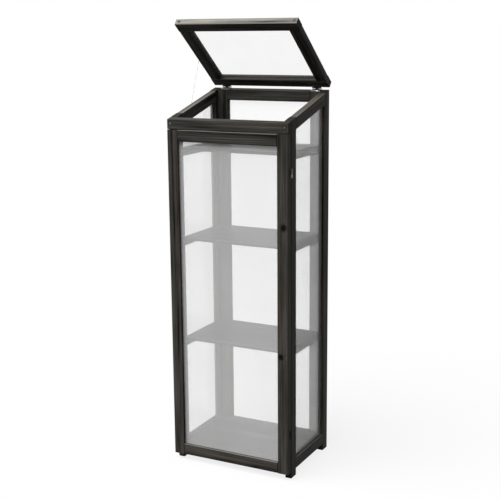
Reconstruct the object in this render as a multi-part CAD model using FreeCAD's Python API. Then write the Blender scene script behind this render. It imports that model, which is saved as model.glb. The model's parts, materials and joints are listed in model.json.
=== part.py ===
import FreeCAD, Part
import math
import os

os.makedirs("parts", exist_ok=True)

# Wooden mini greenhouse cabinet in millimetres, +Z up.
# It is drawn with the left outer side at X = 0, the front edges of the side
# panels at Y = 0 and the floor at Z = 0. Every piece is then moved so that the
# origin lies on the floor, under the middle of the whole object at rest.

# Cabinet
width = 400.0
panelDepth = 276.0
roofFront = 1088.0
roofAngle = 14.8
legHigh = 20.0

# Battens of every frame, rounded along their length
battenWide = 35.0
battenThick = 21.0
edgeRound = 2.5

# Stub tenons of the rails and their mortises
tenonThick = 7.0
tenonLong = 15.0
tenonOuterShoulder = 6.0
tenonInnerShoulder = 2.0
joineryFit = 0.1
mortiseSpare = 1.0

# Clear panes, held in a groove at mid thickness
paneThick = 3.0
paneFit = 0.1
grooveDeep = 6.0
paneSpare = 1.0

# Door, in front of the side panels and below the front top rail
hingeGap = 2.5
doorTopGap = 1.2

# Shelves, boards on side cleats
lowerShelfTop = 397.0
middleShelfTop = 718.0
upperShelfDrop = 93.0
baseBoardTop = 50.0
boardThick = 10.0
boardRound = 2.0
boardSideGap = 1.0
boardBackGap = 1.0
shelfFront = 20.0
baseBoardFront = 2.0
cleatWide = 15.0
cleatHigh = 15.0
cleatFront = 2.0
cleatBevel = 3.0

# Butt hinges, three knuckles on a peened pin
leafThick = 1.2
leafReach = 20.0
leafCorner = 2.5
knuckles = 3
knuckleGap = 0.2
barrelClearance = 0.3
pinFit = 0.05
pinRadius = 1.2
doorHingeLong = 26.0
doorHingeHeadEnd = 100.0
doorHingeFootEnd = 109.0
doorBarrelRadius = 2.5
doorAxisOut = 2.5
lidHingeLong = 30.0
lidHingeInset = 28.0
lidBarrelRadius = 3.2
lidAxisOut = 4.5

# Lid, at rest propped open and leaning to the front
lidLean = 38.3

# Prop rod of the lid, outside the left side panel
stayBaseY = 118.0
stayLidReach = 135.0
stayWireRadius = 1.25
stayPinRadius = 2.0
stayPinLong = 12.0
stayPinClearance = 0.3
stayPinFit = 0.05
stayStandoff = 1.5
stayEndGap = 0.3
stayEyeRadius = 4.8
stayHeadRadius = 4.2
stayHeadHigh = 1.8
stayHeadBevel = 1.2

# Magnetic catch behind the upper free corner of the door
catchWide = 12.0
catchLong = 26.0
catchDeep = 14.0
catchRound = 1.5
catchTopGap = 7.0
strikeThick = 1.2
strikeOverlap = 3.0
strikeRound = 2.0
strikeGap = 0.1

# Directions
xAxis = FreeCAD.Vector(1, 0, 0)
yAxis = FreeCAD.Vector(0, 1, 0)
zAxis = FreeCAD.Vector(0, 0, 1)
slant = 0.05


def towardsBack(tilt):
    # Along a board that climbs to the back by the tilt, in degrees.
    return FreeCAD.Vector(0, math.cos(math.radians(tilt)), math.sin(math.radians(tilt)))


def awayFrom(tilt):
    # Square to the upper face of such a board.
    return FreeCAD.Vector(0, -math.sin(math.radians(tilt)), math.cos(math.radians(tilt)))


# The roof plane on which the closed lid lies, and the levels that follow from it
roofSlope = math.tan(math.radians(roofAngle))
roofLean = 1 / math.cos(math.radians(roofAngle))


def roofAt(y):
    return roofFront + roofSlope * y


midThick = battenThick / 2
doorFront = hingeGap + battenThick
frontRailLow = roofFront - battenWide
doorHigh = frontRailLow - doorTopGap
upperShelfTop = roofFront - upperShelfDrop
baseBoardLow = baseBoardTop - boardThick
backInner = panelDepth - battenThick
shelfBack = backInner - boardBackGap
lidDeep = (panelDepth + doorFront) * roofLean

# The lid turns behind the back top rail, in the middle of the gap that the two
# leaves of its hinges leave between lid and cabinet.
roofRear = FreeCAD.Vector(0, panelDepth, roofAt(panelDepth))
lidAxis = roofRear + towardsBack(roofAngle) * lidAxisOut + awayFrom(roofAngle) * (hingeGap / 2)
lidForward = towardsBack(-lidLean) * -1
lidUp = awayFrom(-lidLean)
lidCorner = lidAxis + lidForward * lidAxisOut + lidUp * (hingeGap / 2)

# The prop rod's ends: on the middle of the left sloping rail and on the middle of
# the lid's left rail.
stayPlane = xAxis * -(stayStandoff + stayWireRadius)
stayBase = FreeCAD.Vector(0, stayBaseY, roofAt(stayBaseY) - battenWide * roofLean / 2)
stayTop = lidAxis + lidForward * stayLidReach + lidUp * (hingeGap / 2 + midThick)

# The origin lies under the middle of the object's bounding box.
leftReach = stayStandoff + 2 * stayWireRadius + stayEndGap + stayHeadHigh
rightReach = width + doorAxisOut + doorBarrelRadius
lidRear = lidCorner + lidForward * edgeRound + lidUp * (battenThick - edgeRound)
rearReach = lidRear.y + edgeRound
rowOrigin = FreeCAD.Vector((rightReach - leftReach) / 2, (rearReach - doorFront) / 2, 0)


def placed(shape, origin, xDirection, yDirection):
    # Moves a shape from its own axes to the cabinet's.
    moved = shape.copy()
    turn = FreeCAD.Rotation(xDirection, yDirection, xDirection.cross(yDirection))
    moved.Placement = FreeCAD.Placement(origin, turn).multiply(shape.Placement)
    return moved


def mirrored(shape):
    # The same piece on the other side of the cabinet.
    return shape.mirror(xAxis * (width / 2), xAxis)


def block(low, high):
    size = high - low
    return Part.makeBox(size.x, size.y, size.z, low)


def rounded(shape, direction, radius):
    # Rounds the edges that run along one direction, with no more than a slight slant.
    edges = []
    for edge in shape.Edges:
        run = edge.Vertexes[-1].Point - edge.Vertexes[0].Point
        if run.normalize().cross(direction).Length < slant:
            edges.append(edge)
    return shape.makeFillet(radius, edges)


def prism(points, low, high):
    # Outline in the x-y plane with a thickness along z.
    corners = []
    for x, y in points:
        corners.append(FreeCAD.Vector(x, y, low))
    corners.append(corners[0])
    face = Part.Face(Part.makePolygon(corners))
    return face.extrude(zAxis * (high - low))


def raked(xLow, xHigh, bottom, top, slope):
    # Outline with plumb ends and a level bottom. Its upper edge climbs at the
    # slope and would cross x = 0 at the height named top.
    return [(xLow, bottom), (xHigh, bottom), (xHigh, top + slope * xHigh), (xLow, top + slope * xLow)]


def strip(xLow, xHigh, bottom, top, slope):
    # Outline with plumb ends whose two long edges climb at the slope.
    return [
        (xLow, bottom + slope * xLow),
        (xHigh, bottom + slope * xHigh),
        (xHigh, top + slope * xHigh),
        (xLow, top + slope * xLow),
    ]


def middle(points, thick):
    # A prism centred on the thickness of a batten.
    return prism(points, midThick - thick / 2, midThick + thick / 2)


def glazedFrame(wide, low, high, topWide, leg, rake):
    # Two posts, a lower and an upper rail tenoned between them, and a pane in the
    # groove round the opening. In the frame's own axes x runs across, y up and z
    # through the thickness. The upper edge climbs by the rake, in degrees.
    slope = math.tan(math.radians(rake))
    lean = 1 / math.cos(math.radians(rake))
    farPost = wide - battenWide
    openLow = low + battenWide
    openHigh = high - topWide * lean
    bite = grooveDeep - paneSpare
    grooveEnds = (battenWide - grooveDeep, farPost + grooveDeep)
    paneEnds = (battenWide - bite, farPost + bite)
    grooveLow = openLow - grooveDeep
    groove = raked(*grooveEnds, grooveLow, openHigh + grooveDeep * lean, slope)
    groove = middle(groove, paneThick + 2 * paneFit)
    pane = middle(raked(*paneEnds, grooveLow, openHigh + bite * lean, slope), paneThick)

    rails = []
    mortises = []
    innerShoulder = grooveDeep + tenonInnerShoulder
    mortiseLong = tenonLong + mortiseSpare
    lowerRail = (low, openLow, low + tenonOuterShoulder, openLow - innerShoulder, 0)
    upperRail = (openHigh, high, openHigh + innerShoulder * lean, high - tenonOuterShoulder * lean, slope)
    for bottom, top, tenonBottom, tenonTop, climb in (lowerRail, upperRail):
        bar = prism(strip(battenWide, farPost, bottom, top, climb), 0, battenThick)
        bar = rounded(bar, FreeCAD.Vector(1, climb, 0).normalize(), edgeRound)
        tenon = middle(
            strip(battenWide - tenonLong, farPost + tenonLong, tenonBottom, tenonTop, climb),
            tenonThick,
        )
        mortise = middle(
            strip(
                battenWide - mortiseLong,
                farPost + mortiseLong,
                tenonBottom - joineryFit,
                tenonTop + joineryFit,
                climb,
            ),
            tenonThick + 2 * joineryFit,
        )
        rails.append(bar.fuse(tenon).cut(groove))
        mortises.append(mortise)

    posts = []
    for left in (0, farPost):
        post = prism(raked(left, left + battenWide, low - leg, high, slope), 0, battenThick)
        posts.append(rounded(post, yAxis, edgeRound).cut([groove] + mortises))
    return posts + rails + [pane]


def hingeLeaf(length, barrelRadius, side):
    # The hinge's pin lies on the z axis and its leaves point to -x. The fixed leaf
    # is on the +y side, side = 1, and carries the two end knuckles and the pin.
    # The moving leaf is on the -y side and carries the middle knuckle.
    inner = (hingeGap / 2 - leafThick) * side
    outer = hingeGap / 2 * side
    knuckle = (length - 2 * knuckleGap) / knuckles
    first = knuckle
    last = length - knuckle
    plate = block(
        FreeCAD.Vector(-leafReach, min(inner, outer), 0),
        FreeCAD.Vector(leafReach, max(inner, outer), length),
    )
    plate = rounded(plate, yAxis, leafCorner)
    barrel = Part.makeCylinder(barrelRadius, length)
    around = barrelRadius + barrelClearance
    ownLevels = ((0, first), (last, length))
    otherLevels = ((first, last),)
    if side < 0:
        ownLevels = ((first + knuckleGap, last - knuckleGap),)
        otherLevels = ((0, first + knuckleGap), (last - knuckleGap, length))
    cuts = [block(FreeCAD.Vector(0, -around, 0), FreeCAD.Vector(leafReach, around, length))]
    for low, high in otherLevels:
        cuts.append(block(FreeCAD.Vector(-around, -around, low), FreeCAD.Vector(around, around, high)))
    leaf = plate.cut(cuts)
    for low, high in ownLevels:
        slab = block(FreeCAD.Vector(-around, -around, low), FreeCAD.Vector(around, around, high))
        leaf = leaf.fuse(barrel.common(slab))
    if side > 0:
        return leaf.fuse(Part.makeCylinder(pinRadius, last - first, zAxis * first))
    return leaf.cut(Part.makeCylinder(pinRadius + pinFit, length))


def keep(name, shape):
    # Moves a piece from the drawing to the object's origin and saves it.
    piece = shape.copy()
    piece.translate(rowOrigin * -1)
    piece.exportStep("parts/" + name + ".step")


# Side panels, the right one the mirror image of the left one
sideNames = ("front_stile", "back_stile", "bottom_rail", "top_rail", "pane")
sideShapes = glazedFrame(panelDepth, legHigh, roofFront, battenWide, legHigh, roofAngle)
left = {}
for name, shape in zip(sideNames, sideShapes):
    left[name] = placed(shape, FreeCAD.Vector(), yAxis, zAxis)

# Back frame between the side panels, its upper edge bevelled to the roof plane.
# Its lower rail ends level with the base board.
backHigh = roofAt(panelDepth)
backTopWide = battenWide + roofSlope * midThick
backLow = baseBoardTop - battenWide
backNames = ("left_stile", "right_stile", "bottom_rail", "top_rail", "pane")
backShapes = glazedFrame(width - 2 * battenThick, backLow, backHigh, backTopWide, 0, 0)
aboveRoof = prism(strip(0, panelDepth + battenThick, roofFront, roofFront + battenWide, roofSlope), 0, width)
aboveRoof = placed(aboveRoof, FreeCAD.Vector(), yAxis, zAxis)
back = {}
for name, shape in zip(backNames, backShapes):
    piece = placed(shape, FreeCAD.Vector(battenThick, panelDepth, 0), xAxis, zAxis)
    back[name] = piece if name == "pane" else piece.cut(aboveRoof)

# Front top rail, laid over the front of the side panels and bevelled to the roof
frontRail = prism(raked(-battenThick, 0, frontRailLow, roofFront, roofSlope), 0, width)
frontRail = placed(rounded(frontRail, zAxis, edgeRound), FreeCAD.Vector(), yAxis, zAxis)

# Low rail between the side panels, under the front of the base board
frontBar = block(
    FreeCAD.Vector(battenThick, 0, legHigh),
    FreeCAD.Vector(width - battenThick, battenThick, baseBoardLow),
)
frontBar = rounded(frontBar, xAxis, edgeRound)

# Boards, and the cleats that carry them
shelfTops = {"lower": lowerShelfTop, "middle": middleShelfTop, "upper": upperShelfTop, "base": baseBoardTop}
boards = {}
cleats = {}
for name, top in shelfTops.items():
    boardStart = baseBoardFront if name == "base" else shelfFront
    cleatStart = battenThick if name == "base" else cleatFront
    board = block(
        FreeCAD.Vector(battenThick + boardSideGap, boardStart, top - boardThick),
        FreeCAD.Vector(width - battenThick - boardSideGap, shelfBack, top),
    )
    boards[name] = rounded(board, xAxis, boardRound)
    cleatTop = top - boardThick
    cleatLow = cleatTop - cleatHigh
    cleatEdge = battenThick + cleatWide
    profile = [
        (-battenThick, cleatTop),
        (-battenThick, cleatLow),
        (cleatBevel - cleatEdge, cleatLow),
        (-cleatEdge, cleatLow + cleatBevel),
        (-cleatEdge, cleatTop),
    ]
    cleats[name] = placed(prism(profile, cleatStart, shelfBack), FreeCAD.Vector(), xAxis * -1, zAxis)

# Door, hung on its right stile
doorNames = ("free_stile", "hinge_stile", "bottom_rail", "top_rail", "pane")
doorShapes = glazedFrame(width, legHigh, doorHigh, battenWide, 0, 0)
door = {}
for name, shape in zip(doorNames, doorShapes):
    door[name] = placed(shape, yAxis * -hingeGap, xAxis, zAxis)

# Lid, its two long rails running across the full width
lidNames = ("rear_rail", "front_rail", "left_rail", "right_rail", "pane")
lidShapes = glazedFrame(lidDeep, 0, width, battenWide, 0, 0)
lid = {}
for name, shape in zip(lidNames, lidShapes):
    lid[name] = placed(shape, lidCorner, lidForward, xAxis)

# The right side panel mirrors the left one, before the prop rod's pin is fitted
right = {}
for name, shape in left.items():
    right[name] = mirrored(shape)

# Door hinges
doorLeaves = {}
hingeLevels = {
    "lower": legHigh + doorHingeFootEnd,
    "upper": doorHigh - doorHingeHeadEnd - doorHingeLong,
}
for name, level in hingeLevels.items():
    corner = FreeCAD.Vector(width + doorAxisOut, -hingeGap / 2, level)
    fixed = placed(hingeLeaf(doorHingeLong, doorBarrelRadius, 1), corner, xAxis, yAxis)
    moving = placed(hingeLeaf(doorHingeLong, doorBarrelRadius, -1), corner, xAxis, yAxis)
    doorLeaves[name] = (fixed, moving)

# Lid hinges: the fixed leaf lies on the bevelled top of the back frame, the moving
# leaf under the lid's rear rail
lidLeaves = {}
hingeEnds = {"left": lidHingeInset + lidHingeLong, "right": width - lidHingeInset}
for name, end in hingeEnds.items():
    corner = lidAxis + xAxis * end
    fixed = hingeLeaf(lidHingeLong, lidBarrelRadius, 1)
    fixed = placed(fixed, corner, towardsBack(roofAngle), awayFrom(roofAngle) * -1)
    moving = hingeLeaf(lidHingeLong, lidBarrelRadius, -1)
    moving = placed(moving, corner, towardsBack(-lidLean), lidUp * -1)
    lidLeaves[name] = (fixed, moving)


# Prop rod of the lid: a wire with a flat eye at each end. The lower eye turns on a
# shouldered pin in the left sloping rail. The upper eye is closed by a rivet and
# lies just outside the stub of a pin in the lid's left rail.
def along(centre, start, end, radius):
    # A round bar across the cabinet, between two distances outside its left side.
    return Part.makeCylinder(radius, start - end, centre - xAxis * start, xAxis)


def rivetHead(centre):
    rim = along(centre, headReach + stayHeadHigh - stayHeadBevel, headReach, stayHeadRadius)
    crownStart = centre - xAxis * (headReach + stayHeadHigh)
    crown = Part.makeCone(stayHeadRadius - stayHeadBevel, stayHeadRadius, stayHeadBevel, crownStart, xAxis)
    return rim.fuse(crown)


headReach = stayStandoff + 2 * stayWireRadius + stayEndGap
stubReach = stayStandoff - stayEndGap
rodSpan = (stayTop - stayBase).Length
rodDirection = (stayTop - stayBase).normalize()
rodStart = stayBase + stayPlane + rodDirection * (stayPinRadius + stayPinClearance)
rod = Part.makeCylinder(stayWireRadius, rodSpan - stayEyeRadius, rodStart, rodDirection)
eyeReach = stayStandoff + 2 * stayWireRadius
rod = rod.fuse(along(stayBase, eyeReach, stayStandoff, stayEyeRadius))
rod = rod.cut(along(stayBase, eyeReach, stayStandoff, stayPinRadius + stayPinClearance))
rod = rod.fuse(along(stayTop, headReach, stayStandoff, stayEyeRadius)).fuse(rivetHead(stayTop))
basePin = along(stayBase, headReach, -stayPinLong, stayPinRadius)
basePin = basePin.fuse(along(stayBase, stubReach, 0, stayHeadRadius)).fuse(rivetHead(stayBase))
topPin = along(stayTop, stubReach, -stayPinLong, stayPinRadius)
boreLong = stayPinLong + stayPinFit
boreRadius = stayPinRadius + stayPinFit
left["top_rail"] = left["top_rail"].cut(along(stayBase, 0, -boreLong, boreRadius))
lid["left_rail"] = lid["left_rail"].cut(along(stayTop, 0, -boreLong, boreRadius))

# Magnetic catch on the left front stile and its strike on the door
catchTop = doorHigh - catchTopGap
catch = block(
    FreeCAD.Vector(battenThick, strikeThick + strikeGap - hingeGap, catchTop - catchLong),
    FreeCAD.Vector(battenThick + catchWide, catchDeep, catchTop),
)
catch = rounded(catch, yAxis, catchRound)
strike = block(
    FreeCAD.Vector(battenThick, -hingeGap, catchTop - catchLong - strikeOverlap),
    FreeCAD.Vector(battenThick + catchWide, strikeThick - hingeGap, catchTop + strikeOverlap),
)
strike = rounded(strike, yAxis, strikeRound)

# Pieces of the cabinet
for name in sideNames:
    keep("left_" + name, left[name])
    keep("right_" + name, right[name])
for name in backNames:
    keep("back_" + name, back[name])
for name in shelfTops:
    keep(name + "_board", boards[name])
    keep("left_" + name + "_cleat", cleats[name])
    keep("right_" + name + "_cleat", mirrored(cleats[name]))
keep("front_top_rail", frontRail)
keep("front_bottom_rail", frontBar)
keep("door_catch", catch)
keep("prop_base_pin", basePin)

# Pieces of the door
for name in doorNames:
    keep("door_" + name, door[name])
keep("door_strike", strike)

# Pieces of the lid
for name in lidNames:
    keep("lid_" + name, lid[name])
keep("prop_lid_pin", topPin)

# Hinge leaves and the prop rod
for name, (fixed, moving) in doorLeaves.items():
    keep(name + "_door_hinge_frame_leaf", fixed)
    keep(name + "_door_hinge_door_leaf", moving)
for name, (fixed, moving) in lidLeaves.items():
    keep(name + "_lid_hinge_frame_leaf", fixed)
    keep(name + "_lid_hinge_lid_leaf", moving)
keep("prop_rod", rod)
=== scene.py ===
import bpy
import json
import math
from mathutils import Matrix, Vector


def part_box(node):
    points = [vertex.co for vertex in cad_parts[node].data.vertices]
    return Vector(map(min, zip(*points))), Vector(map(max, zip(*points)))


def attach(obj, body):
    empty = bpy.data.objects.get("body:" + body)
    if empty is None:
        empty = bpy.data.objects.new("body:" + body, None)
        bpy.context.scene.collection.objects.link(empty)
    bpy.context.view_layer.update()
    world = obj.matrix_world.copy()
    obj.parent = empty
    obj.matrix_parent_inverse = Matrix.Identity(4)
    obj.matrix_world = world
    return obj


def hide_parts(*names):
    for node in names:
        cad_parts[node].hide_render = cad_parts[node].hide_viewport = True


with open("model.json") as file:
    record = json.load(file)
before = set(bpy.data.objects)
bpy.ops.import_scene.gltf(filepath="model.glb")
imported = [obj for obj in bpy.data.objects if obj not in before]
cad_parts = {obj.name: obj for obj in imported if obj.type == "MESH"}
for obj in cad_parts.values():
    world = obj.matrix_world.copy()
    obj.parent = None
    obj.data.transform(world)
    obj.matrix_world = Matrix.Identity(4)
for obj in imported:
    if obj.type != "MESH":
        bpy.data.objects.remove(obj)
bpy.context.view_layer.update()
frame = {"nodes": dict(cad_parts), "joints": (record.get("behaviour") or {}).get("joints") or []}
nodes = frame["nodes"]
print("frame loaded:", len(nodes), "nodes")

# directions, and the slopes of the roof and of the open lid
acrossX = Vector((1, 0, 0))
towardsBack = Vector((0, 1, 0))
upright = Vector((0, 0, 1))
roofPitch = math.radians(14.8)
lidPitch = math.radians(38.3)
alongRoof = Vector((0, math.cos(roofPitch), math.sin(roofPitch)))
outOfRoof = Vector((0, -math.sin(roofPitch), math.cos(roofPitch)))
alongLid = Vector((0, -math.cos(lidPitch), math.sin(lidPitch)))
outOfLid = Vector((0, math.sin(lidPitch), math.cos(lidPitch)))

mm = 0.001
mostNoise = (0.3, 0.7)  # a noise hardly goes below the first or above the second
smoothAngle = math.radians(32)  # edges sharper than this stay sharp


class Signal:
    # a socket of a material's node tree that can be reckoned with like a number
    def __init__(self, tree, socket=None):
        self.tree = tree
        self.socket = socket

    def make(self, kind, settings=None, feed=None, out=0):
        item = self.tree.nodes.new(kind)
        for name, value in (settings or {}).items():
            setattr(item, name, value)
        for name, value in (feed or {}).items():
            if isinstance(value, Signal):
                self.tree.links.new(value.socket, item.inputs[name])
            else:
                item.inputs[name].default_value = value
        return Signal(self.tree, item.outputs[out]) if item.outputs else item

    def maths(self, operation, *values):
        settings = {"operation": operation}
        return self.make("ShaderNodeMath", settings, dict(enumerate(values)))

    def vectorMaths(self, operation, feed, out=0):
        return self.make("ShaderNodeVectorMath", {"operation": operation}, feed, out)

    def __add__(self, other):
        return self.maths("ADD", self, other)

    __radd__ = __add__

    def __sub__(self, other):
        return self.maths("SUBTRACT", self, other)

    def __rsub__(self, other):
        return self.maths("SUBTRACT", other, self)

    def __mul__(self, other):
        return self.maths("MULTIPLY", self, other)

    __rmul__ = __mul__

    def __abs__(self):
        return self.maths("ABSOLUTE", self)

    def root(self):
        return self.maths("SQRT", self)

    def sine(self):
        return self.maths("SINE", self)

    def orMore(self, other):
        return self.maths("MAXIMUM", self, other)

    def along(self, direction):
        # how far a point lies along a direction
        return self.vectorMaths("DOT_PRODUCT", {0: self, 1: direction}, "Value")

    def stretched(self, factors):
        # a point with each of its three parts multiplied by its own factor
        return self.vectorMaths("MULTIPLY", {0: self, 1: factors})

    def stronger(self, factor):
        # a colour made lighter or darker as a whole
        return self.vectorMaths("SCALE", {0: self, "Scale": factor})

    def join(self, y, z):
        return self.make("ShaderNodeCombineXYZ", None, {"X": self, "Y": y, "Z": z})

    def noise(self, scale=1.0, detail=2.0, roughness=0.5):
        feed = {"Vector": self, "Scale": scale, "Detail": detail, "Roughness": roughness}
        return self.make("ShaderNodeTexNoise", None, feed)

    def rise(self, zeroAt, oneAt):
        # 0 at and beyond the first value, 1 at and beyond the second, smooth between them
        feed = {"Value": self, "From Min": zeroAt, "From Max": oneAt}
        return self.make("ShaderNodeMapRange", {"interpolation_type": "SMOOTHSTEP"}, feed)

    def tint(self, first, second):
        # from the first colour at 0 to the second at 1, by the Mix node's colour sockets
        feed = {0: self}
        for socket, colour in ((6, first), (7, second)):
            feed[socket] = colour if isinstance(colour, Signal) else (*colour, 1.0)
        return self.make("ShaderNodeMix", {"data_type": "RGBA"}, feed, 2)


def newMaterial(name):
    material = bpy.data.materials.new(name)
    material.use_nodes = True
    material.node_tree.nodes.clear()
    return material, Signal(material.node_tree)


def finishMaterial(start, feed):
    shader = start.make("ShaderNodeBsdfPrincipled", None, feed)
    start.make("ShaderNodeOutputMaterial", None, {"Surface": shader})


def bump(start, height, strength, distance):
    feed = {"Height": height, "Strength": strength, "Distance": distance}
    return start.make("ShaderNodeBump", None, feed)


def scaled(colour, factor):
    return tuple(part * factor for part in colour)


def span(piece, direction):
    # middle and half of a piece's reach along a direction
    reach = [vertex.co.dot(direction) for vertex in piece.data.vertices]
    return (min(reach) + max(reach)) / 2, (max(reach) - min(reach)) / 2


def selectOnly(piece):
    bpy.ops.object.select_all(action="DESELECT")
    piece.select_set(True)
    bpy.context.view_layer.objects.active = piece


def dress(piece, material, smooth=True):
    piece.data.materials.clear()
    piece.data.materials.append(material)
    if smooth:
        selectOnly(piece)
        bpy.ops.object.shade_smooth_by_angle(angle=smoothAngle)


# Wood: its noises, by repeats per metre along the grain and across it, detail and roughness
woodNoises = {
    "streak": (2.4, 125, 3.0, 0.55),
    "cloud": (6.0, 26, 2.0, 0.50),
    "blotch": (5.0, 45, 2.0, 0.60),
    "fibre": (45.0, 1500, 2.0, 0.50),
    "warmth": (1.7, 75, 3.0, 0.50),
    "sway": (1.1, 9, 3.0, 0.50),
}


def woodNoise(spot, name, fineness=1.0):
    # spot is the place along the grain and in the two ways across it
    along, across, detail, roughness = woodNoises[name]
    u, v, w = spot
    stretched = (u * along).join(v * (across * fineness), w * (across * fineness))
    return stretched.noise(1.0, detail, roughness)


knotAndShadeShape = {
    # shares of the radius of a knot and of a screw's ring of painted shade: how ragged it is,
    # where its core is full, where the rim round it begins, is full, fades and ends, and how far
    # the year rings are pushed aside
    "ragged": 2.2,
    "core": 0.85,
    "rim": (1.00, 1.15, 1.25, 1.45),
    "push": 1.6,
    "pushReach": 4.0,
    "rimShare": 0.45,  # how dark the rim is beside the core
}


def knotAndShadeMarks(u, v, midV, knotsAndScrewShade, blotch):
    # how dark the knots and the rings of painted shade round the screws make each place, None
    # without any, and their push on the year rings
    marks = None
    push = 0.0
    for along, across, radius, stretch in knotsAndScrewShade:
        du = (u - along) * (1 / stretch)
        dv = v - (midV if across is None else across)
        far = (du * du + dv * dv).root() + (blotch - 0.5) * (radius * knotAndShadeShape["ragged"])
        begin, full, fade, end = (radius * share for share in knotAndShadeShape["rim"])
        rim = far.rise(end, fade) * far.rise(begin, full) * knotAndShadeShape["rimShare"]
        mark = far.rise(radius, radius * knotAndShadeShape["core"]).orMore(rim)
        marks = mark if marks is None else marks.orMore(mark)
        pushed = far.rise(radius * knotAndShadeShape["pushReach"], 0.0)
        push = push + pushed * (radius * knotAndShadeShape["push"])
    return marks, push


yearRings = {
    "pitch": 3.1 * mm,
    "late": (-0.2, 1.0),  # where the dark late wood of a ring begins and is full, on its sine
    "sway": 20 * mm,
    # the heart of the trunk, from the middle of the piece, differs from piece to piece
    "heartAside": (-40 * mm, 45 * mm),
    "heartBelow": [(30 + 12 * step) * mm for step in range(5)],
}


def lateWood(spot, midV, midW, seed, fineness, push):
    heartAside = yearRings["heartAside"][seed % len(yearRings["heartAside"])]
    heartBelow = yearRings["heartBelow"][seed % len(yearRings["heartBelow"])]
    dv = spot[1] - (midV + heartAside)
    dw = spot[2] - (midW - heartBelow)
    sway = (woodNoise(spot, "sway") - 0.5) * yearRings["sway"]
    distance = (dv * dv + dw * dw).root() + sway + push
    turns = 2 * math.pi * fineness / yearRings["pitch"]
    return (distance * turns).sine().rise(*yearRings["late"])


stain = {
    "colour": (0.0350, 0.0338, 0.0305),
    "boardColour": (0.0220, 0.0218, 0.0205),
    # worn arrises, lighter still as a painted highlight where they face up
    "wornAndHighlitColour": (0.1500, 0.1420, 0.1250),
    # the knot colour also paints the shade ring round each screw and the shade in the joints
    "knotAndShadeColour": (0.0045, 0.0040, 0.0035),
    "endColour": (0.0160, 0.0150, 0.0130),
    # beside the colour: brown places, thick stain and thin stain, on battens and on boards
    "brown": (1.50, 1.08, 0.84),
    "darkest": 0.20,
    "lightest": 2.1,
    "boardLightest": 5.0,
    # how thin the stain is, about 1: where the thick and the thin tone begin and are full,
    # and how far each pattern changes it
    "thick": (0.95, 0.25),
    "thin": (0.95, 1.70),
    "streaks": 1.0,
    "clouds": 0.35,
    "blotches": 0.45,
    "fibres": 0.35,
    "rings": 0.30,
    # the warmth at which brown begins and is full, and how much of each tone shows
    "brownFrom": (0.48, 0.66),
    "brownShare": 0.55,
    "lightShare": 0.80,
    "endShare": (0.45, 0.50),  # in early wood, and as much more in late wood
    "knotAndShadeShare": 0.95,
    # dark lines in the joints of tenoned rails, from the tenon's shoulder: bled stain and painted
    # shade
    "tenon": 15 * mm,
    "jointFrom": (-2.4 * mm, -0.6 * mm),
    "jointShare": 0.85,
}

# arrises rubbed thin and, where they face up, lightened as a painted highlight, by the sum of the
# distances to the two faces that meet there
wearAndHighlight = {
    "share": 0.80,
    "from": (3.2 * mm, 1.6 * mm),
    "ragged": 3 * mm,
    # the upward part of the normal sets the painted highlight on the arrises
    "faceUp": (0.25, 0.75),  # upward part of the normal, for no wear and for full wear
    "uprightShare": 0.12,
}

# roughness and relief, with what each pattern adds to them
sheen = {
    "roughness": 0.32,
    "clouds": 0.16,
    "fibres": 0.12,
    "wornAndHighlit": -0.08,
    "sawn": 0.15,
    "gloss": 0.012,
}
relief = {
    "fibres": 0.35,
    "streaks": 0.30,
    "rings": 0.25,
    "strength": 0.5,
    "height": 0.35 * mm,
}
sawnFace = (0.6, 0.8)  # part of the normal along the grain, on a side and on a sawn end
paintedLightFace = (0.55, 0.85)  # part of it towards the pale side, on other faces and on the pale one
seedShift = 0.37  # metres along the grain, so that no two pieces are alike


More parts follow.
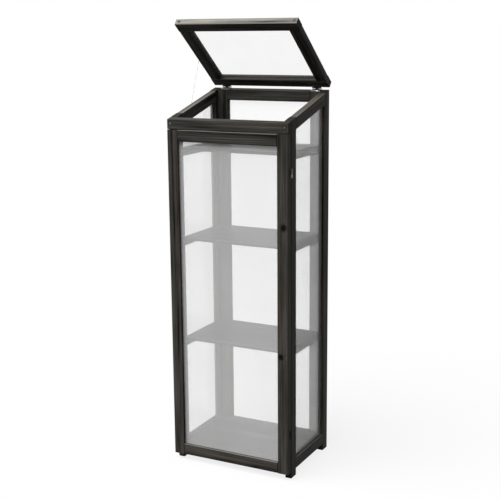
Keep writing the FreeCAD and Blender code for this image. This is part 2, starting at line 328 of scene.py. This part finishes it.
def woodMaterial(piece, wood, seed):
    material, start = newMaterial("wood-" + piece.name)
    grain, side = wood["ways"]
    ways = (grain, side, grain.cross(side).normalized())
    place = start.make("ShaderNodeTexCoord", out="Object")
    normal = start.make("ShaderNodeTexCoord", out="Normal")
    u, v, w = (place.along(way) for way in ways)
    (midU, halfU), (midV, halfV), (midW, halfW) = (span(piece, way) for way in ways)
    colour = wood["colour"]
    fineness = wood["fineness"]

    # long streaks, clouds and blotches of thicker stain, and fine fibres
    spot = (u + seed * seedShift, v, w)
    streak = woodNoise(spot, "streak", fineness)
    cloud = woodNoise(spot, "cloud")
    blotch = woodNoise(spot, "blotch", fineness)
    fibre = woodNoise(spot, "fibre")
    warmth = woodNoise(spot, "warmth", fineness)
    knotAndShade, push = knotAndShadeMarks(u, v, midV, wood["knotsAndScrewShade"], blotch)
    late = lateWood(spot, midV, midW, seed, fineness, push)

    # the stain is rubbed thin on the arrises, those that face up get a painted highlight, and sawn
    # ends drink more stain
    edge = halfV - abs(v - midV) + (halfW - abs(w - midW))
    edge = edge + (cloud - 0.5) * wearAndHighlight["ragged"] + (streak - 0.5) * wearAndHighlight["ragged"]
    faceUp = normal.along(upright).rise(*wearAndHighlight["faceUp"])
    faceUp = faceUp * (1 - wearAndHighlight["uprightShare"]) + wearAndHighlight["uprightShare"]
    wornAndHighlit = edge.rise(*wearAndHighlight["from"]) * faceUp * wearAndHighlight["share"]
    sawn = abs(normal.along(grain)).rise(*sawnFace)

    thin = (streak.rise(*mostNoise) - 0.5) * stain["streaks"] + 1.0
    thin = thin + (cloud.rise(*mostNoise) - 0.5) * stain["clouds"]
    thin = thin + (blotch.rise(*mostNoise) - 0.5) * stain["blotches"]
    thin = (thin + (fibre - 0.5) * stain["fibres"]) * (1 - late * stain["rings"])

    brown = tuple(part * factor for part, factor in zip(colour, stain["brown"]))
    tone = (warmth.rise(*stain["brownFrom"]) * stain["brownShare"]).tint(colour, brown)
    tone = thin.rise(*stain["thick"]).tint(tone, scaled(colour, stain["darkest"]))
    light = scaled(colour, wood["lightest"])
    tone = (thin.rise(*stain["thin"]) * stain["lightShare"]).tint(tone, light)
    if wood["paintedLight"]:
        # painted light on one face: lighter as painted sheen and highlight, darker as painted
        # shade
        towards, factor = wood["paintedLight"]
        tone = normal.along(towards).rise(*paintedLightFace).tint(tone, tone.stronger(factor))
    # wear on the arrises, with a painted highlight where they face up
    tone = wornAndHighlit.tint(tone, stain["wornAndHighlitColour"])
    endShare, lateShare = stain["endShare"]
    tone = (sawn * (late * lateShare + endShare)).tint(tone, stain["endColour"])
    if wood["tenoned"]:
        # the dark joint line is bled stain and painted shade of the gap
        shoulder = abs(u - midU) - (halfU - stain["tenon"])
        joint = shoulder.rise(*stain["jointFrom"]) * stain["jointShare"]
        tone = joint.tint(tone, stain["knotAndShadeColour"])
    if knotAndShade is not None:
        tone = (knotAndShade * stain["knotAndShadeShare"]).tint(tone, stain["knotAndShadeColour"])

    height = fibre * relief["fibres"] + streak * relief["streaks"] + late * relief["rings"]
    rough = (cloud - 0.5) * sheen["clouds"] + (fibre - 0.5) * sheen["fibres"]
    rough = rough + wornAndHighlit * sheen["wornAndHighlit"] + sawn * sheen["sawn"]
    finishMaterial(start, {
        "Base Color": tone,
        "Roughness": rough + sheen["roughness"],
        "Specular IOR Level": sheen["gloss"],
        "Normal": bump(start, height, relief["strength"], relief["height"]),
    })
    return material


# which way the grain runs and a direction across it, by the end of a node's name
grainWays = {
    "stile": (upright, acrossX),
    "board": (acrossX, towardsBack),
    "cleat": (towardsBack, acrossX),
    "front_top_rail": (acrossX, upright),
    "front_bottom_rail": (acrossX, upright),
    "back_bottom_rail": (acrossX, upright),
    "back_top_rail": (acrossX, upright),
    "door_top_rail": (acrossX, upright),
    "door_bottom_rail": (acrossX, upright),
    "left_bottom_rail": (towardsBack, upright),
    "right_bottom_rail": (towardsBack, upright),
    "left_top_rail": (alongRoof, outOfRoof),
    "right_top_rail": (alongRoof, outOfRoof),
    "lid_rear_rail": (acrossX, alongLid),
    "lid_front_rail": (acrossX, outOfLid),
    "lid_left_rail": (alongLid, acrossX),
    "lid_right_rail": (alongLid, acrossX),
}

# how fine the figure is beside that of the battens
boardFineness = 0.20

# rails with a dark line at the shoulder of each tenon, of bled stain and painted shade
tenoned = ("door_top_rail", "door_bottom_rail", "back_top_rail", "back_bottom_rail")

# pieces made lighter or darker than the rest: the lid's rails lighter, as painted light on the
# lid's underside; the right front stile darker, as painted shade on the side away from the
# light; the base board darker, as painted shade under the shelves; the others are simply lighter
# or darker
stainAndLightTones = {
    "base_board": 0.60,
    "door_top_rail": 0.86,
    "door_hinge_stile": 0.90,
    "right_front_stile": 0.60,
    "left_top_rail": 1.6,
    "left_back_stile": 1.4,
    "back_left_stile": 1.4,
    "lid_rear_rail": 2.0,
    "lid_front_rail": 1.1,
    "lid_left_rail": 1.1,
    "lid_right_rail": 1.1,
}

# faces made lighter or darker, and how light they are beside the rest of the batten: painted
# sheen on the lid's front edge, painted highlight on the roof rails' tops, and painted shade
# on the inner edge of the lid's rear rail
paintedLightFaces = {
    "lid_front_rail": (alongLid, 3.60),
    "lid_rear_rail": (alongLid, 0.33),
    "left_top_rail": (outOfRoof, 1.70),
    "right_top_rail": (outOfRoof, 1.70),
}

# screws in front and the dark ring round each, painted shade of the countersink and stain
# pressed dark round the screw: place along the rail, place across it with None for the middle,
# radius of the ring
railScrews = {"left": (-0.1895, 1.0700, 4.2 * mm), "right": (0.1886, 1.0710, 4.8 * mm)}
lidScrews = {"left": (-0.1874, None, 5.2 * mm), "right": (0.1916, None, 4.8 * mm)}

# knots, and the screws' rings of painted shade: place along the grain, place across it, radius,
# stretch along the grain
knotAndScrewShadePlaces = {
    "door_hinge_stile": ((0.782, 0.1873, 8.6 * mm, 1.3), (0.391, 0.1786, 7.6 * mm, 1.2)),
    "left_back_stile": ((0.240, -0.1900, 5.0 * mm, 1.4),),
    "back_right_stile": ((0.620, 0.1650, 6.0 * mm, 1.4),),
    "front_top_rail": [(*ring, 1.0) for ring in railScrews.values()],
    "lid_front_rail": [(*ring, 1.0) for ring in lidScrews.values()],
}


def grainOf(name):
    # None for a piece that isn't wooden
    for ending, ways in grainWays.items():
        if name.endswith(ending):
            return ways
    return None


woodenNames = [name for name in sorted(nodes) if grainOf(name)]
for seed, name in enumerate(woodenNames, start=1):
    indoors = name.endswith(("board", "cleat"))
    colour = stain["boardColour"] if indoors else stain["colour"]
    wood = {
        "ways": grainOf(name),
        "colour": scaled(colour, stainAndLightTones.get(name, 1.0)),
        "lightest": stain["boardLightest"] if indoors else stain["lightest"],
        "fineness": boardFineness if name.endswith("board") else 1.0,
        "paintedLight": paintedLightFaces.get(name),
        "tenoned": name in tenoned,
        "knotsAndScrewShade": knotAndScrewShadePlaces.get(name, ()),
    }
    dress(nodes[name], woodMaterial(nodes[name], wood, seed))
print("wood finished:", len(woodenNames), "pieces")


# Clear panes: the haze of each, the share of it that lets light through, its roughness, how
# white it is and how much it shines
panes = {
    "door_pane": {"haze": 0.272, "through": 0.10, "roughness": 0.45, "milk": 0.84, "shine": 0.5},
    "left_pane": {"haze": 0.200, "through": 0.60, "roughness": 0.10, "milk": 1.00, "shine": 1.0},
    "right_pane": {"haze": 0.280, "through": 0.60, "roughness": 0.10, "milk": 1.00, "shine": 1.0},
    "back_pane": {"haze": 0.100, "through": 0.25, "roughness": 0.45, "milk": 1.00, "shine": 0.5},
    "lid_pane": {"haze": 0.060, "through": 0.25, "roughness": 0.45, "milk": 1.00, "shine": 0.5},
}
clearPane = {
    "colour": (0.97, 0.975, 0.97),
    "cloudColour": 0.98,  # beside the colour
    "ior": 1.45,
    "cloudScale": 3.0,
    "smearScale": (14, 14, 3),
    "detail": 3.0,
    # what clouds and smears do to the haze, and smears to the roughness
    "cloudHaze": 0.04,
    "smearHaze": 0.03,
    "smearRoughness": 0.1,
}


def paneMaterial(name, pane):
    material, start = newMaterial("clear-" + name)
    place = start.make("ShaderNodeTexCoord", out="Object")
    cloud = place.noise(clearPane["cloudScale"], clearPane["detail"])
    smear = place.stretched(clearPane["smearScale"]).noise(1.0, clearPane["detail"])
    colour = scaled(clearPane["colour"], pane["milk"])
    clouded = scaled(colour, clearPane["cloudColour"])
    haze = (cloud - 0.5) * clearPane["cloudHaze"] + (smear - 0.5) * clearPane["smearHaze"]
    finishMaterial(start, {
        "Base Color": cloud.rise(*mostNoise).tint(colour, clouded),
        "Roughness": (smear - 0.5) * clearPane["smearRoughness"] + pane["roughness"],
        "IOR": clearPane["ior"],
        "Transmission Weight": pane["through"],
        "Specular IOR Level": pane["shine"],
        "Alpha": haze + pane["haze"],
    })
    return material


# Metal and plastic
steels = {
    "zinc": {"colour": (0.620, 0.620, 0.610), "dull": (0.400, 0.400, 0.400), "roughness": 0.34},
    # darkened zinc: on the upper door hinge, painted shade of the shaded right side; also on the
    # front rail's screws
    "darkened": {"colour": (0.160, 0.155, 0.150), "dull": (0.090, 0.088, 0.085), "roughness": 0.50},
    "black": {"colour": (0.030, 0.029, 0.028), "dull": (0.012, 0.012, 0.011), "roughness": 0.45},
}
steelSurface = {
    "spangleScale": 420.0,
    "patchScale": 90.0,
    "patchDetail": 3.0,
    "brushScale": (60, 60, 3000),
    # the noise at which dull patches and spangles begin and are full, and how dull they are
    "patchFrom": (0.35, 0.75),
    "spangleFrom": (0.40, 0.70),
    "patchDull": 0.6,
    "spangleDull": 0.3,
    "patchRoughness": 0.25,
    "brushRoughness": 0.15,
    "strength": 0.15,
    "height": 0.1 * mm,
}
blackPlastic = {
    "colour": (0.022, 0.022, 0.023),
    "paleShare": 1.8,
    "roughness": 0.48,
    "patchRoughness": 0.2,
    "grainScale": 2600.0,
    "patchScale": 120.0,
    "strength": 0.25,
    "height": 0.1 * mm,
}


def steelMaterial(name, steel):
    material, start = newMaterial(name + "-steel")
    place = start.make("ShaderNodeTexCoord", out="Object")
    spangle = place.noise(steelSurface["spangleScale"])
    patch = place.noise(steelSurface["patchScale"], steelSurface["patchDetail"])
    brushed = place.stretched(steelSurface["brushScale"]).noise()
    dull = patch.rise(*steelSurface["patchFrom"]) * steelSurface["patchDull"]
    dull = dull + spangle.rise(*steelSurface["spangleFrom"]) * steelSurface["spangleDull"]
    rough = (patch - 0.5) * steelSurface["patchRoughness"]
    rough = rough + (brushed - 0.5) * steelSurface["brushRoughness"]
    marks = brushed + spangle
    finishMaterial(start, {
        "Base Color": dull.tint(steel["colour"], steel["dull"]),
        "Metallic": 1.0,
        "Roughness": rough + steel["roughness"],
        "Normal": bump(start, marks, steelSurface["strength"], steelSurface["height"]),
    })
    return material


def plasticMaterial():
    material, start = newMaterial("black-plastic")
    place = start.make("ShaderNodeTexCoord", out="Object")
    grain = place.noise(blackPlastic["grainScale"])
    patch = place.noise(blackPlastic["patchScale"])
    base = blackPlastic["colour"]
    rough = (patch - 0.5) * blackPlastic["patchRoughness"] + blackPlastic["roughness"]
    finishMaterial(start, {
        "Base Color": patch.rise(*mostNoise).tint(base, scaled(base, blackPlastic["paleShare"])),
        "Roughness": rough,
        "Normal": bump(start, grain, blackPlastic["strength"], blackPlastic["height"]),
    })
    return material


for name, pane in panes.items():
    dress(nodes[name], paneMaterial(name, pane), smooth=False)
skins = {name: steelMaterial(name, steel) for name, steel in steels.items()}
plasticSkin = plasticMaterial()
for name, piece in sorted(nodes.items()):
    if name.startswith("prop_") or name == "door_strike":
        dress(piece, skins["zinc"])
    elif name == "door_catch":
        dress(piece, plasticSkin)
print("panes, metal and plastic finished")


# Screws
screw = {
    "sides": 24,
    "headRadius": 3.4 * mm,
    "headHigh": 2.0 * mm,
    "shankRadius": 1.6 * mm,
    "shankLong": 14 * mm,
    "pointLong": 3 * mm,
    "pointShare": 0.08,  # its end, beside the shank's radius
    "rimHigh": 0.15 * mm,
    "rimWide": 0.5 * mm,
    "crownHigh": 0.1 * mm,
    "crossWide": 0.9 * mm,
    "crossReach": 2.1 * mm,
    "crossDeep": 1.1 * mm,
    "crossTaper": 0.7,
}
sameWay = 0.9  # a face looks a way when its normal goes at least this far along it


def selectFaces(piece, wanted):
    # in edit mode, selects the faces for which wanted(centre, normal) is true
    bpy.ops.object.mode_set(mode="OBJECT")
    for item in (*piece.data.vertices, *piece.data.edges):
        item.select = False
    for polygon in piece.data.polygons:
        polygon.select = wanted(polygon.center, polygon.normal)
    bpy.ops.object.mode_set(mode="EDIT")


def drawOut(move):
    # extrudes the selected faces by a move
    bpy.ops.mesh.extrude_region_move(TRANSFORM_OT_translate={"value": move})


def cutAway(piece, cutter):
    selectOnly(piece)
    cut = piece.modifiers.new("cut", "BOOLEAN")
    cut.operation = "DIFFERENCE"
    cut.solver = "EXACT"
    cut.object = cutter
    bpy.ops.object.modifier_apply(modifier="cut")
    bpy.data.objects.remove(cutter)


def crossCutter():
    # a small block whose four sides are drawn out and narrowed, half of it above the origin
    wide = screw["crossWide"]
    reach = screw["crossReach"] - wide / 2
    taper = screw["crossTaper"]
    bpy.ops.object.select_all(action="DESELECT")
    bpy.ops.mesh.primitive_cube_add(size=wide, location=(0, 0, 0))
    cutter = bpy.context.object
    bpy.ops.object.mode_set(mode="EDIT")
    bpy.ops.mesh.select_mode(type="FACE")
    for way in (acrossX, -acrossX, towardsBack, -towardsBack):
        # only the block's own side, not the sides of the arms drawn out before it
        selectFaces(
            cutter,
            lambda centre, normal: normal.dot(way) > sameWay and centre.length < wide,
        )
        drawOut(way * reach)
        bpy.ops.transform.resize(value=(1 if way.x else taper, 1 if way.y else taper, 1))
    bpy.ops.mesh.select_all(action="SELECT")
    bpy.ops.transform.resize(value=(1, 1, 2 * screw["crossDeep"] / wide))
    bpy.ops.object.mode_set(mode="OBJECT")
    return cutter


def screwTemplate():
    # a countersunk screw that points down, the foot of its rim at the origin's height
    radius = screw["headRadius"]
    depth = screw["headHigh"]
    bpy.ops.object.select_all(action="DESELECT")
    bpy.ops.mesh.primitive_cylinder_add(
        vertices=screw["sides"], radius=radius, depth=depth, location=(0, 0, -depth / 2)
    )
    piece = bpy.context.object
    bpy.ops.object.transform_apply(location=True, rotation=True, scale=True)
    bpy.ops.object.mode_set(mode="EDIT")
    bpy.ops.mesh.select_mode(type="FACE")
    # the head's underside narrows to the shank, which ends in a point
    selectFaces(piece, lambda centre, normal: normal.z < -sameWay)
    narrow = screw["shankRadius"] / radius
    bpy.ops.transform.resize(value=(narrow, narrow, 1))
    drawOut((0, 0, -screw["shankLong"]))
    drawOut((0, 0, -screw["pointLong"]))
    bpy.ops.transform.resize(value=(screw["pointShare"], screw["pointShare"], 1))
    # a thin rim and a slightly raised top
    selectFaces(piece, lambda centre, normal: normal.z > sameWay)
    drawOut((0, 0, screw["rimHigh"]))
    bpy.ops.mesh.inset(thickness=screw["rimWide"], depth=screw["crownHigh"])
    bpy.ops.object.mode_set(mode="OBJECT")
    cutAway(piece, crossCutter())
    return piece


def placedCopy(template, name, point, outwards, turned=0, size=1.0):
    # a copy of the template with its origin at point and its top facing outwards
    selectOnly(template)
    bpy.ops.object.duplicate(linked=False)
    piece = bpy.context.object
    piece.name = name
    facing = outwards.to_track_quat("Z", "Y").to_matrix().to_4x4()
    turn = Matrix.Rotation(math.radians(turned), 4, "Z")
    piece.matrix_world = Matrix.Translation(point) @ facing @ turn @ Matrix.Scale(size, 4)
    bpy.ops.object.transform_apply(location=True, rotation=True, scale=True)
    return piece


def finishMetal(piece, body, skin):
    dress(piece, skin)
    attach(piece, body)


# wood screws: in the front top rail, in the lid's front edge and, at the shelves, in the back
# stiles of the sides
shelfScrew = {"behind": 115.1 * mm, "below": 8.0 * mm}
crossTurns = {"wood": (20, 47), "hinge": (35, 50)}  # degrees of the first and between two
screwPlaces = {}
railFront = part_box("front_top_rail")[0].y
lidMid, lidHalf = span(nodes["lid_front_rail"], alongLid)
lidEdge = alongLid * (lidMid + lidHalf) + outOfLid * span(nodes["lid_front_rail"], outOfLid)[0]
for side, (along, height, _) in railScrews.items():
    spot = Vector((along, railFront, height))
    screwPlaces["screw_front_rail_" + side] = ("cabinet", spot, -towardsBack, skins["darkened"])
for side, (along, _, _) in lidScrews.items():
    spot = lidEdge + acrossX * along
    screwPlaces["screw_lid_" + side] = ("lid", spot, alongLid, skins["black"])
for level in ("lower", "middle", "upper"):
    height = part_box(level + "_board")[1].z - shelfScrew["below"]
    for side, corner, way in (("left", 0, -acrossX), ("right", 1, acrossX)):
        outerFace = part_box(side + "_back_stile")[corner].x
        spot = Vector((outerFace, shelfScrew["behind"], height))
        screwPlaces["screw_" + level + "_shelf_" + side] = ("cabinet", spot, way, skins["black"])

template = screwTemplate()
firstTurn, nextTurn = crossTurns["wood"]
for count, (name, (body, spot, outwards, skin)) in enumerate(screwPlaces.items()):
    driven = placedCopy(template, name, spot, outwards, firstTurn + nextTurn * count)
    finishMetal(driven, body, skin)
print("wood screws driven:", len(screwPlaces))


# Hinges: each leaf gets two countersunk holes with a screw in each
hinge = {
    "screwSize": 0.72,  # beside the wood screws
    "screwFromPin": 13 * mm,
    "screwFromEnd": 6.5 * mm,
    "leafFromPinPlane": 0.05 * mm,
    "holeSpare": 0.12 * mm,
    "holeDeeper": 0.4 * mm,
    "holeProud": 0.2 * mm,
    "sunk": 0.20 * mm,
    "mergeWithin": 0.001 * mm,
}
# for each kind of leaf: its joint, its body, the way it reaches from the pin, the way it
# faces and the way of the pin
leafKinds = {
    "door_hinge_frame_leaf": ("door_hinge", "cabinet", -acrossX, -towardsBack, upright),
    "door_hinge_door_leaf": ("door_hinge", "door", -acrossX, towardsBack, upright),
    "lid_hinge_frame_leaf": ("lid_hinge", "cabinet", -alongRoof, outOfRoof, acrossX),
    "lid_hinge_lid_leaf": ("lid_hinge", "lid", alongLid, -outOfLid, acrossX),
}
pins = {joint["name"]: Vector(joint["pos_m"]) for joint in frame["joints"]}


def countersinkCutter():
    # a cone that stands a little proud of the leaf and widens as it does so
    depth = hinge["screwSize"] * screw["headHigh"] + hinge["holeDeeper"]
    mouth = hinge["screwSize"] * screw["headRadius"] + hinge["holeSpare"] + hinge["holeProud"]
    bpy.ops.object.select_all(action="DESELECT")
    bpy.ops.mesh.primitive_cone_add(
        vertices=screw["sides"],
        radius1=hinge["screwSize"] * screw["shankRadius"],
        radius2=mouth,
        depth=depth,
        location=(0, 0, hinge["holeProud"] - depth / 2),
    )
    cutter = bpy.context.object
    bpy.ops.object.transform_apply(location=True, rotation=True, scale=True)
    return cutter


def leafSkin(name):
    # the lower door hinge and the lid's own leaves are black, the upper door hinge is darkened;
    # on the door hinges this dark steel is painted shade
    if name.startswith("lower") or name.endswith("lid_leaf"):
        return skins["black"]
    return skins["darkened" if name.startswith("upper") else "zinc"]


def mergedCopy(node, name):
    # a CAD mesh is loose triangles, so the copy is closed before it is cut
    piece = bpy.data.objects.new(name, node.data.copy())
    bpy.context.scene.collection.objects.link(piece)
    selectOnly(piece)
    bpy.ops.object.mode_set(mode="EDIT")
    bpy.ops.mesh.select_all(action="SELECT")
    bpy.ops.mesh.remove_doubles(threshold=hinge["mergeWithin"])
    bpy.ops.object.mode_set(mode="OBJECT")
    return piece


countersink = countersinkCutter()
firstTurn, nextTurn = crossTurns["hinge"]
for name in sorted(nodes):
    if not name.endswith("leaf"):
        continue
    joint, body, reach, facing, pinWay = leafKinds[name.split("_", 1)[1]]
    pin = pins[joint]
    middle, half = span(nodes[name], pinWay)
    leaf = mergedCopy(nodes[name], name + "_drilled")
    for number, way in enumerate((-1, 1)):
        along = middle + way * (half - hinge["screwFromEnd"]) - pin.dot(pinWay)
        spot = pin + pinWay * along + reach * hinge["screwFromPin"]
        spot = spot - facing * hinge["leafFromPinPlane"]
        cutAway(leaf, placedCopy(countersink, "hole", spot, facing))
        seat = spot - facing * hinge["sunk"]
        turned = firstTurn + nextTurn * number
        screwName = name + "_screw_" + str(number + 1)
        driven = placedCopy(template, screwName, seat, facing, turned, hinge["screwSize"])
        finishMetal(driven, body, leafSkin(name))
    finishMetal(leaf, body, leafSkin(name))
    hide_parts(name)
for spent in (template, countersink):
    bpy.data.objects.remove(spent)
print("hinges finished")


# Studio
studio = {
    "keyWay": (-0.5, -0.8, 1.6),
    "keyLight": 1.95,
    "keySoftness": 50.0,
    "roomLight": 0.42,
    "floorColour": 0.08,
    "floorCloud": 1.02,  # beside the colour
    "floorCloudScale": 0.8,
    "floorRoughness": 0.9,
    "floorGlow": 0.83,
    "floorSize": 400.0,
}


def seenDirectly(start):
    # 1 for the camera, reflections and panes, 0 for what lights the object
    rays = ("Is Camera Ray", "Is Glossy Ray", "Is Transmission Ray")
    first, second, third = (start.make("ShaderNodeLightPath", out=ray) for ray in rays)
    return first.orMore(second).orMore(third)


world = bpy.data.worlds.new("studio")
bpy.context.scene.world = world
world.use_nodes = True
world.node_tree.nodes.clear()
room = Signal(world.node_tree)
strength = seenDirectly(room) * (1 - studio["roomLight"]) + studio["roomLight"]
light = room.make("ShaderNodeBackground", None, {"Color": (1, 1, 1, 1), "Strength": strength})
room.make("ShaderNodeOutputWorld", None, {"Surface": light})

bpy.ops.object.select_all(action="DESELECT")
bpy.ops.mesh.primitive_plane_add(size=studio["floorSize"], location=(0, 0, 0))
floor = bpy.context.object
floor.name = "floor"
floorMaterial, start = newMaterial("floor")
grey = (studio["floorColour"],) * 3
cloud = start.make("ShaderNodeTexCoord", out="Object").noise(studio["floorCloudScale"])
finishMaterial(start, {
    "Base Color": cloud.tint(grey, scaled(grey, studio["floorCloud"])),
    "Roughness": studio["floorRoughness"],
    "Specular IOR Level": 0.0,
    "Emission Color": seenDirectly(start) * studio["floorGlow"],
    "Emission Strength": 1.0,
})
floor.data.materials.append(floorMaterial)

key = bpy.data.lights.new("key", "SUN")
key.energy = studio["keyLight"] * math.pi
key.angle = math.radians(studio["keySoftness"])
keyLamp = bpy.data.objects.new("key", key)
keyLamp.rotation_euler = Vector(studio["keyWay"]).to_track_quat("Z", "Y").to_euler()
bpy.context.scene.collection.objects.link(keyLamp)

# Camera, at the photograph's viewing angle
view = {
    "place": (1.43948, -2.78700, 1.34531),
    "turn": 27.374,
    "dip": 12.143,
    "roll": -0.512,
    "lens": 74.08,
    "sensor": 36.0,
    "sight": 1000.0,
}
turn, dip, roll = (math.radians(view[name]) for name in ("turn", "dip", "roll"))
forward = Vector((-math.sin(turn) * math.cos(dip), math.cos(turn) * math.cos(dip), -math.sin(dip)))
right = Vector((math.cos(turn), math.sin(turn), 0))
above = right.cross(forward)
tiltedRight = right * math.cos(roll) + above * math.sin(roll)
tiltedAbove = above * math.cos(roll) - right * math.sin(roll)
lens = bpy.data.cameras.new("camera")
lens.lens = view["lens"]
lens.sensor_width = view["sensor"]
lens.clip_end = view["sight"]
camera = bpy.data.objects.new("camera", lens)
axes = Matrix((tiltedRight, tiltedAbove, -forward)).transposed()
camera.matrix_world = Matrix.Translation(view["place"]) @ axes.to_4x4()
bpy.context.scene.collection.objects.link(camera)
bpy.context.scene.camera = camera
bpy.context.scene.view_settings.view_transform = "Standard"
print("studio and camera set")
